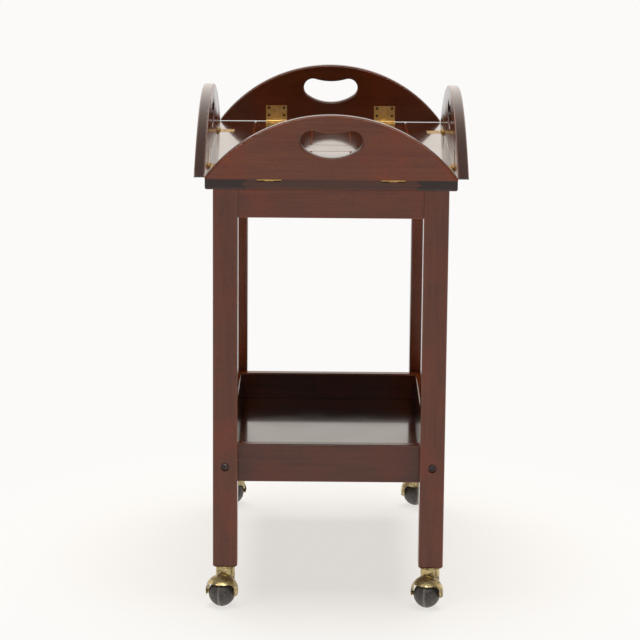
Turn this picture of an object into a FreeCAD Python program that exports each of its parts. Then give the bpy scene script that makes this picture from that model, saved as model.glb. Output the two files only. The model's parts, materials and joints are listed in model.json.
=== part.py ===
import FreeCAD, Part
import math
import os
import re

import Sketcher

# Tea trolley with a drop-side tray top, a lower tray and four hooded ball casters.
# Millimetres, origin on the floor under the centre, +X to the right, +Y to the rear, +Z up.

# Driving dimensions
SIZES = {
    # Legs and the upper frame
    "leg_side": 40,
    "leg_length": 629,
    "leg_edge_round": 3,
    "leg_foot_bevel": 3.2,
    "frame_width": 376,
    "frame_depth": 610,
    "floor_to_leg": 65,
    "apron_height": 49.5,
    "apron_thick": 18,
    "apron_setback": 4.5,
    "rail_edge_round": 1.5,
    # Lower tray
    "shelf_rail_height": 63,
    "shelf_rail_thick": 20,
    "shelf_rail_top_round": 3,
    "shelf_rail_bottom": 200,
    "shelf_thick": 4,
    "shelf_lip": 13,
    "shelf_groove_depth": 5,
    # Joinery
    "wood_clearance": 0.2,
    "dowel_radius": 4,
    "dowel_length": 36,
    "dowel_spread": 30,
    "shelf_dowel_spread": 49,
    "cleat_side": 20,
    "cleat_length": 300,
    "cleat_screw_spread": 220,
    "cleat_screw_stagger": 30,
    "cleat_screw_radius": 2,
    "cleat_screw_length": 30,
    # Bolts of the lower tray and their barrel nuts
    "bolt_rise": 35,
    "bolt_radius": 3,
    "bolt_length": 76,
    "bolt_sink": 4,
    "bolt_head_radius": 5.2,
    "bolt_head_thick": 3.4,
    "bolt_dome_radius": 8,
    "bolt_head_room": 2.3,
    "bolt_socket_radius": 2.4,
    "bolt_socket_depth": 1.8,
    "bolt_clearance": 0.1,
    "nut_radius": 5,
    "nut_length": 14,
    "nut_inset": 30,
    # Tray top
    "tray_width": 399,
    "tray_depth": 662,
    "tray_thick": 19,
    "stile_width": 64,
    "end_rail_width": 63,
    "cross_rail_width": 72,
    "muntin_width": 66,
    "tongue_thick": 6,
    "tongue_depth": 6,
    "tray_edge_bevel": 1.5,
    "tray_bottom_round": 4,
    # Flaps and their handholes, measured from the hinge line
    "flap_thick": 17.5,
    "end_flap_gap": 0.7,
    "side_flap_gap": 0.4,
    "flap_end_gap": 0.5,
    "flap_tip": 2.5,
    "flap_edge_round": 3,
    "end_flap_rise": 102.5,
    "side_flap_rise": 104.5,
    "grip_half_spread": 32.3,
    "grip_lobe_radius": 16.2,
    "grip_height": 61.5,
    "grip_dip": 11.5,
    "grip_sag": 26.5,
    "grip_edge_round": 3,
    # Hinges
    "hinge_width": 38,
    "leaf_reach": 29,
    "leaf_thick": 2,
    "knuckle_radius": 4,
    "centre_knuckle_radius": 4.8,
    "centre_knuckle_width": 14,
    "knuckle_gap": 0.3,
    "knuckle_clearance": 0.5,
    "hinge_pin_radius": 1.75,
    "hinge_pin_clearance": 0.05,
    "end_hinge_offset": 98,
    "side_hinge_offset": 204,
    "leaf_screw_offset": 13.7,
    "leaf_screw_near": 11,
    "leaf_screw_far": 24.7,
    "screw_head_radius": 2.6,
    "screw_radius": 1.3,
    "screw_length": 13,
    "screw_slot_width": 0.8,
    "screw_slot_depth": 0.7,
    "screw_clearance": 0.05,
    # Casters
    "ball_radius": 22.2,
    "ball_band": 4,
    "ball_side_radius": 24,
    "ball_half_width": 20.6,
    "ball_pole_radius": 7,
    "caster_trail": 20,
    "axle_radius": 2,
    "axle_clearance": 0.05,
    "axle_proud": 0.4,
    "hood_clearance": 2.6,
    "hood_thick": 2,
    "hood_rim_rise": 18.8,
    "hood_arch_half": 24,
    "hood_arch_round": 10,
    "hood_ear_drop": 3,
    "hood_lift": 4.6,
    "hood_ear_half": 5.5,
    "hood_ear_root_half": 12.5,
    "hood_ear_taper": 7,
    "hood_flare_rise": 8,
    "hood_flare_radius": 20.5,
    "hood_boss_radius": 3.2,
    "hood_boss_gap": 0.4,
    "neck_radius": 15.5,
    "neck_height": 16,
    "socket_flange_radius": 15,
    "socket_flange_thick": 2.5,
    "socket_radius": 6.5,
    "socket_length": 42,
    "stem_radius": 4,
    "stem_clearance": 0.05,
    "stem_end_gap": 4,
    "stem_sink": 14,
    "swivel_gap": 0.5,
}

# Corner of the trolley to the signs of X and Y
CORNERS = {
    "front_left": (-1, -1),
    "front_right": (1, -1),
    "rear_left": (-1, 1),
    "rear_right": (1, 1),
}

# Swivel of each caster as it stands, in degrees about its stem
CASTER_TURN = {
    "front_left": -14.5,
    "front_right": -15.5,
    "rear_left": -153,
    "rear_right": -168,
}

# Side of the trolley to the turn that takes the outward direction from +Y to that side
SIDE_TURN = {"front": 180, "rear": 0, "left": 90, "right": -90}

X_AXIS = FreeCAD.Vector(1, 0, 0)
Y_AXIS = FreeCAD.Vector(0, 1, 0)
Z_AXIS = FreeCAD.Vector(0, 0, 1)
NO_TURN = FreeCAD.Rotation()
ALONG = {"x": FreeCAD.Rotation(Y_AXIS, 90), "y": FreeCAD.Rotation(X_AXIS, -90), "z": NO_TURN}
UPRIGHT = FreeCAD.Rotation(X_AXIS, 90)
TOLERANCE = 1e-6

# Heights and centre lines that several pieces share
LEG_TOP = "(floor_to_leg + leg_length)"
TRAY_TOP = "(floor_to_leg + leg_length + tray_thick)"
LEG_X = "((frame_width - leg_side) / 2)"
LEG_Y = "((frame_depth - leg_side) / 2)"
LEG_INNER_X = "(frame_width / 2 - leg_side)"
LEG_INNER_Y = "(frame_depth / 2 - leg_side)"
SHELF_INNER_X = f"({LEG_X} - shelf_rail_thick / 2)"
SHELF_INNER_Y = f"({LEG_INNER_Y} - shelf_rail_thick)"
APRON_INNER_X = "(frame_width / 2 - apron_setback - apron_thick)"
SHELF_SEAT = "(shelf_rail_bottom + shelf_lip)"
BOLT_HEIGHT = "(shelf_rail_bottom + bolt_rise)"
NECK_TOP = "(floor_to_leg - socket_flange_thick - swivel_gap)"
HOOD_INNER = "(ball_radius + hood_clearance)"
HOOD_OUTER = "(ball_radius + hood_clearance + hood_thick)"
NOTCH_RADIUS = "(centre_knuckle_radius + knuckle_clearance)"

doc = FreeCAD.newDocument("tea_trolley")
sheet = doc.addObject("Spreadsheet::Sheet", "sizes")
for row, (alias, value) in enumerate(SIZES.items(), start=1):
    sheet.set(f"A{row}", alias)
    sheet.set(f"B{row}", str(value))
    sheet.setAlias(f"B{row}", alias)
doc.recompute()

nodes = {}


def formula(text):
    """Name the sheet before each of its aliases in a formula."""
    return re.sub(r"[a-z]\w+", lambda word: f"sizes.{word.group()}", text)


def signed(sign, text):
    """A formula with a sign before it."""
    return f"{sign} * ({text})"


def bind(item, **properties):
    """Tie properties of an object to formulas of the sheet."""
    for name, text in properties.items():
        item.setExpression(name, formula(text))


def place(item, point=("0", "0", "0"), turn=NO_TURN):
    """Set an object's turn and tie its position to the sheet."""
    item.Placement = FreeCAD.Placement(FreeCAD.Vector(), turn)
    for letter, text in zip("xyz", point):
        item.setExpression(f"Placement.Base.{letter}", formula(text))
    return item


def keep(item, node):
    """Name an object as a sub-part of the trolley."""
    item.Label = node
    nodes[node] = item


def block(name, size, foot):
    """Box from its three sides, standing on the centre of its foot."""
    item = doc.addObject("Part::Box", name)
    bind(item, Length=size[0], Width=size[1], Height=size[2])
    return place(item, (f"{foot[0]} - ({size[0]}) / 2", f"{foot[1]} - ({size[1]}) / 2", foot[2]))


def rod(name, radius, length, start, along="z"):
    """Cylinder from a start point along x, y or z."""
    item = doc.addObject("Part::Cylinder", name)
    bind(item, Radius=radius, Height=length)
    return place(item, start, ALONG[along])


def cone(name, low_radius, high_radius, height, start):
    """Cone frustum standing on a start point."""
    item = doc.addObject("Part::Cone", name)
    bind(item, Radius1=low_radius, Radius2=high_radius, Height=height)
    return place(item, start)


def sphere(name, radius, centre):
    """Full sphere about a centre."""
    item = doc.addObject("Part::Sphere", name)
    bind(item, Radius=radius)
    return place(item, centre)


def fuse(name, items):
    """One solid from several, or the only one that is given."""
    if len(items) == 1:
        return items[0]
    result = doc.addObject("Part::MultiFuse", name)
    result.Shapes = items
    return result


def cut(name, base, tools):
    """The base less all the tools."""
    result = doc.addObject("Part::Cut", name)
    result.Base = base
    result.Tool = fuse(f"{name}_tools", tools)
    return result


def gather(name, items):
    """Separate solids as one group."""
    group = doc.addObject("Part::Compound", name)
    group.Links = items
    return group


def copy(name, form, point=("0", "0", "0"), turn=NO_TURN):
    """A placed copy of a form."""
    return place(gather(name, [form]), point, turn)


def new_sketch(body, name):
    """Sketch on the XY plane of a body."""
    sketch = body.newObject("Sketcher::SketchObject", name)
    plane = next(item for item in body.Origin.OriginFeatures if item.Role == "XY_Plane")
    sketch.AttachmentSupport = (plane, [""])
    sketch.MapMode = "FlatFace"
    return sketch


def dimension(sketch, name, kind, *where, drawn, text):
    """Named dimension of a sketch, drawn at one size and then tied to the sheet."""
    index = sketch.addConstraint(Sketcher.Constraint(kind, *where, drawn))
    sketch.renameConstraint(index, name)
    sketch.setExpression(f"Constraints.{name}", formula(text))


def relate(sketch, kind, *where):
    """Geometric constraint of a sketch."""
    sketch.addConstraint(Sketcher.Constraint(kind, *where))


def arc(centre, radius, start, end):
    """Arc drawn anticlockwise between two angles."""
    return Part.ArcOfCircle(Part.Circle(FreeCAD.Vector(*centre), Z_AXIS, radius), start, end)


def line(start, end):
    """Straight line between two points of a sketch."""
    return Part.LineSegment(FreeCAD.Vector(*start), FreeCAD.Vector(*end))


def timber(name, length, width, height):
    """Body of a rectangular piece, centred in X and Y, standing on Z = 0."""
    body = doc.addObject("PartDesign::Body", name)
    sketch = new_sketch(body, f"{name}_outline")
    drawn_length, drawn_width = 20, 10
    half = (drawn_length / 2, drawn_width / 2)
    corners = [(x * half[0], y * half[1]) for x, y in ((-1, -1), (1, -1), (1, 1), (-1, 1))]
    for index, kind in enumerate(("Horizontal", "Vertical", "Horizontal", "Vertical")):
        sketch.addGeometry(line(corners[index], corners[(index + 1) % 4]), False)
        relate(sketch, kind, index)
    for index in range(4):
        relate(sketch, "Coincident", index, 2, (index + 1) % 4, 1)
    relate(sketch, "Symmetric", 0, 1, 2, 1, -1, 1)
    dimension(sketch, "length", "DistanceX", 0, 1, 0, 2, drawn=drawn_length, text=length)
    dimension(sketch, "width", "DistanceY", 1, 1, 1, 2, drawn=drawn_width, text=width)
    pad = body.newObject("PartDesign::Pad", f"{name}_pad")
    pad.Profile = sketch
    bind(pad, Length=height)
    doc.recompute()
    return body


def dress(body, kind, size, choose):
    """Round or bevel the edges of a body that pass a test."""
    base = body.Tip
    chosen = [f"Edge{number}" for number, edge in enumerate(base.Shape.Edges, start=1) if choose(edge)]
    feature = body.newObject(f"PartDesign::{kind}", f"{base.Name}_{kind.lower()}")
    feature.Base = (base, chosen)
    bind(feature, **{"Radius" if kind == "Fillet" else "Size": size})
    doc.recompute()


def runs_along(edge, axis):
    """Whether an edge is straight and parallel to an axis."""
    return isinstance(edge.Curve, Part.Line) and edge.Curve.Direction.cross(axis).Length < TOLERANCE


def lies_at(edge, height):
    """Whether all of an edge lies at one height."""
    box = edge.BoundBox
    return max(abs(box.ZMin - height), abs(box.ZMax - height)) < TOLERANCE


# Rails of the two frames
def rail_table():
    """Each rail's run, side, centre line across it, half length, what it meets, level and dowels."""
    upper = {"bottom": f"({LEG_TOP} - apron_height)", "height": "apron_height", "thick": "apron_thick",
             "top_round": "rail_edge_round"}
    lower = {"bottom": "shelf_rail_bottom", "height": "shelf_rail_height", "thick": "shelf_rail_thick",
             "top_round": "shelf_rail_top_round"}
    on_legs = {"meets": "leg", "spread": "dowel_spread"}
    on_rails = {"meets": "rail", "spread": "shelf_dowel_spread"}
    rails = {}
    for side, sign in (("front", -1), ("rear", 1)):
        upper_line = {"across": "(frame_depth / 2 - apron_setback - apron_thick / 2)", "half": LEG_INNER_X}
        lower_line = {"across": f"({LEG_INNER_Y} - shelf_rail_thick / 2)", "half": SHELF_INNER_X}
        rails[f"apron_{side}"] = {"run": "x", "sign": sign, **upper_line, **upper, **on_legs}
        rails[f"shelf_rail_{side}"] = {"run": "x", "sign": sign, **lower_line, **lower, **on_rails}
    for side, sign in (("left", -1), ("right", 1)):
        upper_line = {"across": f"({APRON_INNER_X} + apron_thick / 2)", "half": LEG_INNER_Y}
        lower_line = {"across": LEG_X, "half": LEG_INNER_Y}
        rails[f"apron_{side}"] = {"run": "y", "sign": sign, **upper_line, **upper, **on_legs}
        rails[f"shelf_rail_{side}"] = {"run": "y", "sign": sign, **lower_line, **lower, **on_legs}
    return rails


RAILS = rail_table()


def rail_point(rail, along, height):
    """Point on a rail's centre line, from its place along the run and its height."""
    across = signed(rail["sign"], rail["across"])
    return (along, across, height) if rail["run"] == "x" else (across, along, height)


def dowel_rods(name, rail, end):
    """The two rods of the dowel joint at one end of a rail."""
    rods = []
    for level in (-1, 1):
        height = f"{rail['bottom']} + {rail['height']} / 2 + {level} * {rail['spread']} / 2"
        start = rail_point(rail, f"{signed(end, rail['half'])} - dowel_length / 2", height)
        rods.append(rod(f"{name}_{level + 2}", "dowel_radius", "dowel_length", start, rail["run"]))
    return rods


def rails_at(corner):
    """The rails that meet a leg, each with the end that meets it."""
    side_x, side_y = CORNERS[corner]
    meeting = []
    for node, rail in RAILS.items():
        sign, end = (side_y, side_x) if rail["run"] == "x" else (side_x, side_y)
        if rail["sign"] == sign and rail["meets"] == "leg":
            meeting.append((node, rail, end))
    return meeting


def make_leg(corner):
    """Square leg with rounded edges, a bevelled foot, holes for dowels and caster, and a sunk bolt hole."""
    side_x, side_y = CORNERS[corner]
    name = f"leg_{corner}"
    body = timber(f"{name}_blank", "leg_side", "leg_side", "leg_length")
    dress(body, "Chamfer", "leg_foot_bevel", lambda edge: lies_at(edge, 0))
    dress(body, "Fillet", "leg_edge_round", lambda edge: edge.BoundBox.ZLength > TOLERANCE)
    x, y = signed(side_x, LEG_X), signed(side_y, LEG_Y)
    place(body, (x, y, "floor_to_leg"))
    tools = [rod(f"{name}_socket_bore", "socket_radius", "socket_length", (x, y, "floor_to_leg"))]
    bolt_start = (x, f"{y} - leg_side", BOLT_HEIGHT)
    tools.append(rod(f"{name}_bolt_hole", "bolt_radius + bolt_clearance", "2 * leg_side", bolt_start, "y"))
    sink_start = (x, f"{signed(side_y, 'frame_depth / 2')} - bolt_sink", BOLT_HEIGHT)
    sink_radius = "bolt_head_radius + bolt_head_room"
    tools.append(rod(f"{name}_bolt_sink", sink_radius, "2 * bolt_sink", sink_start, "y"))
    for node, rail, end in rails_at(corner):
        tools += dowel_rods(f"{name}_{node}_hole", rail, end)
    keep(cut(name, body, tools), name)


def make_rail(node, rail):
    """Rail between two legs or two rails, with its dowel holes and the grooves and holes of its kind."""
    length = f"2 * {rail['half']}"
    plan = (length, rail["thick"]) if rail["run"] == "x" else (rail["thick"], length)
    body = timber(f"{node}_blank", *plan, rail["height"])
    run = X_AXIS if rail["run"] == "x" else Y_AXIS
    top = SIZES[rail["height"]]
    dress(body, "Fillet", "rail_edge_round", lambda edge: runs_along(edge, run) and lies_at(edge, 0))
    dress(body, "Fillet", rail["top_round"], lambda edge: runs_along(edge, run) and lies_at(edge, top))
    place(body, rail_point(rail, "0", rail["bottom"]))
    tools = []
    for end in (-1, 1):
        tools += dowel_rods(f"{node}_hole_{end + 2}", rail, end)
    if node.startswith("shelf_rail"):
        tools.append(shelf_groove(node, rail))
    if node in ("shelf_rail_left", "shelf_rail_right"):
        tools += bolt_seats(node, rail)
        for other in ("shelf_rail_front", "shelf_rail_rear"):
            tools += dowel_rods(f"{node}_{other}_hole", RAILS[other], rail["sign"])
    if node in ("apron_left", "apron_right"):
        tools += cleat_screw_rods(f"{node}_screw_hole", rail["sign"], "x")
    keep(cut(node, body, tools), node)


def shelf_groove(node, rail):
    """Groove in a lower rail's inner face that holds the shelf board."""
    inner = signed(rail["sign"], f"{rail['across']} - shelf_rail_thick / 2")
    height = "shelf_thick + wood_clearance"
    if rail["run"] == "x":
        size = (f"2 * {SHELF_INNER_X}", "2 * shelf_groove_depth", height)
        return block(f"{node}_groove", size, ("0", inner, SHELF_SEAT))
    size = ("2 * shelf_groove_depth", f"2 * ({SHELF_INNER_Y} + shelf_groove_depth)", height)
    return block(f"{node}_groove", size, (inner, "0", SHELF_SEAT))


def bolt_seats(node, rail):
    """Bolt holes in a side rail's ends and the cross holes of its barrel nuts."""
    tools = []
    x = signed(rail["sign"], rail["across"])
    reach = "(bolt_length + bolt_sink - leg_side + bolt_clearance)"
    for end in (-1, 1):
        start = (x, f"{signed(end, LEG_INNER_Y)} - {reach}", BOLT_HEIGHT)
        hole = "bolt_radius + bolt_clearance"
        tools.append(rod(f"{node}_bolt_hole_{end + 2}", hole, f"2 * {reach}", start, "y"))
        tools.append(nut_rod(f"{node}_nut_hole_{end + 2}", rail["sign"], end))
    return tools


def nut_rod(name, sign, end):
    """Cross rod of a barrel nut, level with a side rail's inner face."""
    x = SHELF_INNER_X if sign > 0 else f"-1 * {SHELF_INNER_X} - nut_length"
    y = signed(end, f"{LEG_INNER_Y} - nut_inset")
    return rod(name, "nut_radius", "nut_length", (x, y, BOLT_HEIGHT), "x")


def make_shelf():
    """Thin board in the grooves of the lower rails."""
    width = f"2 * ({SHELF_INNER_X} + shelf_groove_depth - wood_clearance)"
    depth = f"2 * ({SHELF_INNER_Y} + shelf_groove_depth - wood_clearance)"
    keep(block("shelf_board", (width, depth, "shelf_thick"), ("0", "0", SHELF_SEAT)), "shelf_panel")


def make_dowels():
    """Two dowels at each end of every rail."""
    dowels = []
    for node, rail in RAILS.items():
        for end in (-1, 1):
            dowels += dowel_rods(f"{node}_dowel_{end + 2}", rail, end)
    keep(gather("frame_dowels", dowels), "frame_dowels")


# Bolts of the lower tray
def make_bolts():
    """Dome-headed bolts with hex sockets, sunk into the legs, and their barrel nuts."""
    blank_length = "2 * bolt_head_thick"
    blank_start = ("0", f"-1 * {blank_length}", "0")
    head = doc.addObject("Part::Common", "bolt_head")
    head.Base = rod("bolt_head_blank", "bolt_head_radius", blank_length, blank_start, "y")
    head.Tool = sphere("bolt_dome", "bolt_dome_radius", ("0", "bolt_dome_radius - bolt_head_thick", "0"))
    shank = rod("bolt_shank", "bolt_radius", "bolt_length", ("0", "0", "0"), "y")
    socket = doc.addObject("Part::Prism", "bolt_socket")
    socket.Polygon = 6
    bind(socket, Circumradius="bolt_socket_radius", Height="2 * bolt_socket_depth")
    place(socket, ("0", "-1 * bolt_head_thick - bolt_socket_depth", "0"), ALONG["y"])
    form = cut("bolt_form", fuse("bolt_blank", [head, shank]), [socket])
    bolts = []
    nuts = []
    for corner, (side_x, side_y) in CORNERS.items():
        x = signed(side_x, LEG_X)
        turn = FreeCAD.Rotation(Z_AXIS, 0 if side_y < 0 else 180)
        seat = (x, signed(side_y, "frame_depth / 2 - bolt_sink"), BOLT_HEIGHT)
        bolts.append(copy(f"bolt_{corner}", form, seat, turn))
        nut = nut_rod(f"nut_{corner}_blank", side_x, side_y)
        thread_start = (x, f"{signed(side_y, LEG_INNER_Y)} - bolt_length", BOLT_HEIGHT)
        thread = rod(f"nut_{corner}_thread", "bolt_radius", "2 * bolt_length", thread_start, "y")
        nuts.append(cut(f"nut_{corner}", nut, [thread]))
    keep(gather("shelf_bolts", bolts), "shelf_bolts")
    keep(gather("barrel_nuts", nuts), "barrel_nuts")


# Cleats that hold the top
def cleat_screw_rods(name, sign, along):
    """The two screws of a cleat that run up into the top (z) or into the apron (x)."""
    middle = signed(sign, f"{APRON_INNER_X} - cleat_side / 2")
    inner = f"({APRON_INNER_X} - cleat_side)"
    inner_start = inner if sign > 0 else f"-1 * {inner} - cleat_screw_length"
    rods = []
    for end in (-1, 1):
        if along == "z":
            start = (middle, f"{end} * cleat_screw_spread / 2", f"{LEG_TOP} - cleat_side")
        else:
            y = f"{end} * (cleat_screw_spread / 2 - cleat_screw_stagger)"
            start = (inner_start, y, f"{LEG_TOP} - cleat_side / 2")
        rods.append(rod(f"{name}_{end + 2}", "cleat_screw_radius", "cleat_screw_length", start, along))
    return rods


def make_cleats():
    """Wooden cleats inside the side aprons, screwed to the apron and up into the top."""
    cleats = []
    screws = []
    for side, sign in (("left", -1), ("right", 1)):
        foot = (signed(sign, f"{APRON_INNER_X} - cleat_side / 2"), "0", f"{LEG_TOP} - cleat_side")
        blank = block(f"cleat_{side}_blank", ("cleat_side", "cleat_length", "cleat_side"), foot)
        holes = []
        for along in ("x", "z"):
            holes += cleat_screw_rods(f"cleat_{side}_hole_{along}", sign, along)
            screws += cleat_screw_rods(f"cleat_{side}_screw_{along}", sign, along)
        cleats.append(cut(f"cleat_{side}", blank, holes))
    keep(gather("top_cleats", cleats), "top_cleats")
    keep(gather("cleat_screws", screws), "cleat_screws")


# Tray top, a frame with infill panels
RAIL_SPAN = "(tray_width - 2 * stile_width)"
BAY_WIDTH = "((tray_width - muntin_width) / 2 - stile_width)"
BAY_DEPTH = "((tray_depth - cross_rail_width) / 2 - end_rail_width)"
BAY_X = f"((muntin_width + {BAY_WIDTH}) / 2)"
BAY_Y = f"((cross_rail_width + {BAY_DEPTH}) / 2)"
TONGUE_MIDDLE = f"({LEG_TOP} + tray_thick / 2)"


def no_edge(edge):
    """Choose none of a piece's edges."""
    return False


def tray_piece(name, size, centre, tongues="", grooves=(), seats=(), outside=no_edge):
    """Piece of the top, bevelled along its joints, rounded under its outside, with tongues and cuts."""
    body = timber(f"{name}_blank", *size, "tray_thick")
    top = SIZES["tray_thick"]
    dress(body, "Chamfer", "tray_edge_bevel", lambda edge: lies_at(edge, top) and not outside(edge))
    if any(outside(edge) for edge in body.Shape.Edges):
        dress(body, "Fillet", "tray_bottom_round", lambda edge: lies_at(edge, 0) and outside(edge))
    place(body, (*centre, LEG_TOP))
    solids = [body]
    for way in tongues:
        reach = list(size)
        reach["xy".index(way)] += " + 2 * (tongue_depth - wood_clearance)"
        thick = "tongue_thick - 2 * wood_clearance"
        foot = (*centre, f"{TONGUE_MIDDLE} - ({thick}) / 2")
        solids.append(block(f"{name}_tongue_{way}", (*reach, thick), foot))
    piece = fuse(f"{name}_with_tongues", solids)
    tools = list(seats)
    for index, (middle, run, length) in enumerate(grooves):
        plan = (length, "2 * tongue_depth") if run == "x" else ("2 * tongue_depth", length)
        foot = (*middle, f"{TONGUE_MIDDLE} - tongue_thick / 2")
        tools.append(block(f"{name}_groove_{index}", (*plan, "tongue_thick"), foot))
    return cut(name, piece, tools) if tools else piece


def make_tray():
    """Stiles, end rails, cross rail, muntins and infill panels of the top."""
    for side, sign in (("left", -1), ("right", 1)):
        name = f"tray_stile_{side}"
        groove = ((signed(sign, f"{RAIL_SPAN} / 2"), "0"), "y", "tray_depth")
        seats = [tray_hinge_seats(side), *cleat_screw_rods(f"{name}_screw_hole", sign, "z")]
        centre = (signed(sign, "(tray_width - stile_width) / 2"), "0")
        stile = tray_piece(name, ("stile_width", "tray_depth"), centre, "", [groove], seats,
                           lambda edge: sign * edge.CenterOfMass.x > -TOLERANCE)
        keep(stile, name)
    for side, sign in (("front", -1), ("rear", 1)):
        name = f"tray_end_rail_{side}"
        groove = (("0", signed(sign, "tray_depth / 2 - end_rail_width")), "x", RAIL_SPAN)
        centre = ("0", signed(sign, "(tray_depth - end_rail_width) / 2"))
        seats = [tray_hinge_seats(side)]
        rail = tray_piece(name, (RAIL_SPAN, "end_rail_width"), centre, "x", [groove], seats,
                          lambda edge: sign * edge.CenterOfMass.y > TOLERANCE)
        keep(rail, name)
    grooves = [(("0", f"{sign} * cross_rail_width / 2"), "x", RAIL_SPAN) for sign in (-1, 1)]
    cross_size = (RAIL_SPAN, "cross_rail_width")
    keep(tray_piece("tray_cross_rail", cross_size, ("0", "0"), "x", grooves), "tray_cross_rail")
    muntins = []
    for side, sign in (("front", -1), ("rear", 1)):
        y = signed(sign, BAY_Y)
        grooves = [((f"{edge} * muntin_width / 2", y), "y", BAY_DEPTH) for edge in (-1, 1)]
        muntins.append(tray_piece(f"muntin_{side}", ("muntin_width", BAY_DEPTH), ("0", y), "y", grooves))
    keep(gather("tray_muntins", muntins), "tray_muntins")
    for corner, (side_x, side_y) in CORNERS.items():
        name = f"tray_infill_{corner}"
        centre = (signed(side_x, BAY_X), signed(side_y, BAY_Y))
        seats = cleat_screw_rods(f"{name}_screw_hole", side_x, "z")
        keep(tray_piece(name, (BAY_WIDTH, BAY_DEPTH), centre, "xy", seats=seats), name)


# Hinges and flaps are drawn laid flat: hinge line along X, outward +Y, inner face at Z = 0
FLAP_SIZES = {
    "front": ("tray_width", "end_flap_rise", "end_hinge_offset", "end_flap_gap"),
    "rear": ("tray_width", "end_flap_rise", "end_hinge_offset", "end_flap_gap"),
    "left": ("tray_depth", "side_flap_rise", "side_hinge_offset", "side_flap_gap"),
    "right": ("tray_depth", "side_flap_rise", "side_hinge_offset", "side_flap_gap"),
}
HINGE_LINE = {
    "front": ("0", "-1 * tray_depth / 2", TRAY_TOP),
    "rear": ("0", "tray_depth / 2", TRAY_TOP),
    "left": ("-1 * tray_width / 2", "0", TRAY_TOP),
    "right": ("tray_width / 2", "0", TRAY_TOP),
}


def flat_turn(side):
    """Turn of what lies level with the tray at one side."""
    return FreeCAD.Rotation(Z_AXIS, SIDE_TURN[side])


def upright_turn(side):
    """Turn of what stands upright at one side."""
    return flat_turn(side).multiply(UPRIGHT)


def hinge_offsets(side):
    """Places of a flap's two hinges along its hinge line."""
    return [f"{sign} * {FLAP_SIZES[side][2]}" for sign in (-1, 1)]


def leaf_screw_points(offset, way):
    """Screw places of a leaf on the flap (way 1) or on the tray (way -1)."""
    points = []
    for sign in (-1, 1):
        for reach in ("leaf_screw_near", "leaf_screw_far"):
            points.append((f"{offset} + {sign} * leaf_screw_offset", f"{way} * {reach}"))
    return points


def hinge_seat(name, offset, way):
    """Tool for a leaf's recess, the knuckle notch and the screw holes."""
    slack_width = "hinge_width + 2 * wood_clearance"
    recess_size = (slack_width, "leaf_reach + wood_clearance + knuckle_radius", "2 * leaf_thick")
    recess_y = f"{way} * (leaf_reach + wood_clearance - knuckle_radius) / 2"
    solids = [block(f"{name}_recess", recess_size, (offset, recess_y, "-1 * leaf_thick"))]
    notch_start = (f"{offset} - ({slack_width}) / 2", "0", "0")
    solids.append(rod(f"{name}_notch", NOTCH_RADIUS, slack_width, notch_start, "x"))
    for index, (x, y) in enumerate(leaf_screw_points(offset, way)):
        radius = "screw_radius + screw_clearance"
        solids.append(rod(f"{name}_pilot_{index}", radius, "screw_length", (x, y, "-1 * screw_length")))
    return solids


def hinge_seats(name, side, way):
    """Tools for both hinges of a flap."""
    solids = []
    for index, offset in enumerate(hinge_offsets(side)):
        solids += hinge_seat(f"{name}_{index}", offset, way)
    return fuse(name, solids)


def tray_hinge_seats(side):
    """Tools for a flap's hinges, placed in the tray's edge."""
    name = f"tray_seats_{side}"
    return copy(f"{name}_placed", hinge_seats(name, side, -1), HINGE_LINE[side], flat_turn(side))


def leaf_holes(name, way):
    """Countersunk holes of one leaf."""
    depth = "(screw_head_radius - screw_radius)"
    through = "screw_radius + screw_clearance"
    solids = []
    for index, (x, y) in enumerate(leaf_screw_points("0", way)):
        sink_start = (x, y, f"-1 * {depth}")
        wide = "screw_head_radius + screw_clearance"
        solids.append(cone(f"{name}_sink_{index}", through, wide, depth, sink_start))
        solids.append(rod(f"{name}_hole_{index}", through, "2 * leaf_thick", (x, y, "-2 * leaf_thick")))
    return solids


def tray_leaf():
    """Fixed leaf with the two outer knuckles."""
    plate_foot = ("0", "-1 * leaf_reach / 2", "-1 * leaf_thick")
    solids = [block("tray_leaf_plate", ("hinge_width", "leaf_reach", "leaf_thick"), plate_foot)]
    inner = "(centre_knuckle_width / 2 + knuckle_gap)"
    length = f"hinge_width / 2 - {inner}"
    for name, start in (("left", "-1 * hinge_width / 2"), ("right", inner)):
        solids.append(rod(f"tray_leaf_knuckle_{name}", "knuckle_radius", length, (start, "0", "0"), "x"))
    room_radius = "centre_knuckle_radius + knuckle_gap"
    room = rod("tray_leaf_room", room_radius, f"2 * {inner}", (f"-1 * {inner}", "0", "0"), "x")
    pin_start = ("-1 * hinge_width / 2", "0", "0")
    bore = rod("tray_leaf_bore", "hinge_pin_radius", "hinge_width", pin_start, "x")
    return cut("tray_leaf", fuse("tray_leaf_blank", solids), [room, bore, *leaf_holes("tray_leaf", -1)])


def flap_leaf():
    """Moving leaf with the large centre knuckle."""
    plate_foot = ("0", "leaf_reach / 2", "-1 * leaf_thick")
    plate = block("flap_leaf_plate", ("hinge_width", "leaf_reach", "leaf_thick"), plate_foot)
    half = "centre_knuckle_width / 2"
    knuckle_start = (f"-1 * {half}", "0", "0")
    knuckle = rod("flap_leaf_knuckle", "centre_knuckle_radius", "centre_knuckle_width", knuckle_start, "x")
    tools = leaf_holes("flap_leaf", 1)
    room_radius = "knuckle_radius + knuckle_clearance"
    for name, start in (("left", f"-1 * {half} - hinge_width"), ("right", half)):
        tools.append(rod(f"flap_leaf_room_{name}", room_radius, "hinge_width", (start, "0", "0"), "x"))
    bore_start = ("-1 * hinge_width / 2", "0", "0")
    bore_radius = "hinge_pin_radius + hinge_pin_clearance"
    tools.append(rod("flap_leaf_bore", bore_radius, "hinge_width", bore_start, "x"))
    return cut("flap_leaf", fuse("flap_leaf_blank", [plate, knuckle]), tools)


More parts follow.
